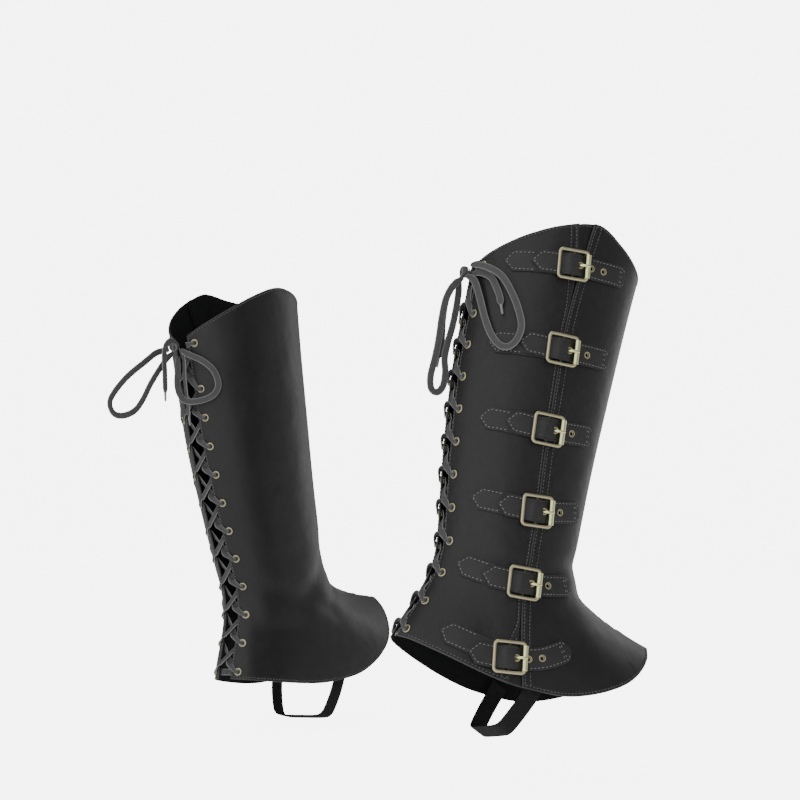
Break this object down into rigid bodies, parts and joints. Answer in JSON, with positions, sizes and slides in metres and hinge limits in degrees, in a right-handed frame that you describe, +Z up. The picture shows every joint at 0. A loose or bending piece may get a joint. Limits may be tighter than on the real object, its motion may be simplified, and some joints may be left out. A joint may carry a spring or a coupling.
{
  "type": "pair of boot covers",
  "caption": "Pair of faux-leather boot covers worn on a leg, laced up the back, with buckled straps on the outer side and an elastic strap under the arch.",
  "frame": {"origin": "midway between the two calves that hold the covers up", "axes": "+Z up, +X the way the wearer faces, +Y to the wearer's left"},
  "size_m": [0.3964, 0.5835, 0.5187],
  "materials": {
    "leather": "black smooth faux leather, semi-matt, with fine grain",
    "strap_leather": "black faux leather straps and patches, semi-matt",
    "lace_cotton": "charcoal flat woven cotton lace",
    "elastic": "black woven elastic webbing, matt",
    "antique_brass": "pale antique brass plating, polished"
  },
  "bodies": {
    "root": {"right_front_panel": "leather", "right_outer_back_panel": "leather", "right_side_gusset": "leather", "right_patch_1": "strap_leather", "right_patch_2": "strap_leather", "right_patch_3": "strap_leather", "right_patch_4": "strap_leather", "right_patch_5": "strap_leather", "right_patch_6": "strap_leather", "right_strap_1": "strap_leather", "right_strap_2": "strap_leather", "right_strap_3": "strap_leather", "right_strap_4": "strap_leather", "right_strap_5": "strap_leather", "right_strap_6": "strap_leather", "right_buckle_1": "antique_brass", "right_buckle_2": "antique_brass", "right_buckle_3": "antique_brass", "right_buckle_4": "antique_brass", "right_buckle_5": "antique_brass", "right_buckle_6": "antique_brass", "right_lace_strand_a": "lace_cotton", "right_lace_strand_b": "lace_cotton", "right_lace_knot": "lace_cotton", "right_lace_near_loop": "lace_cotton", "right_lace_far_loop": "lace_cotton", "right_lace_near_tail": "lace_cotton", "right_lace_far_tail": "lace_cotton", "right_stirrup_strap": "elastic", "left_front_panel": "leather", "left_outer_back_panel": "leather", "left_side_gusset": "leather", "left_patch_1": "strap_leather", "left_patch_2": "strap_leather", "left_patch_3": "strap_leather", "left_patch_4": "strap_leather", "left_patch_5": "strap_leather", "left_patch_6": "strap_leather", "left_strap_1": "strap_leather", "left_strap_2": "strap_leather", "left_strap_3": "strap_leather", "left_strap_4": "strap_leather", "left_strap_5": "strap_leather", "left_strap_6": "strap_leather", "left_buckle_1": "antique_brass", "left_buckle_2": "antique_brass", "left_buckle_3": "antique_brass", "left_buckle_4": "antique_brass", "left_buckle_5": "antique_brass", "left_buckle_6": "antique_brass", "left_lace_strand_a": "lace_cotton", "left_lace_strand_b": "lace_cotton", "left_lace_knot": "lace_cotton", "left_lace_near_loop": "lace_cotton", "left_lace_far_loop": "lace_cotton", "left_lace_near_tail": "lace_cotton", "left_lace_far_tail": "lace_cotton", "left_stirrup_strap": "elastic"}
  },
  "joints": []
}
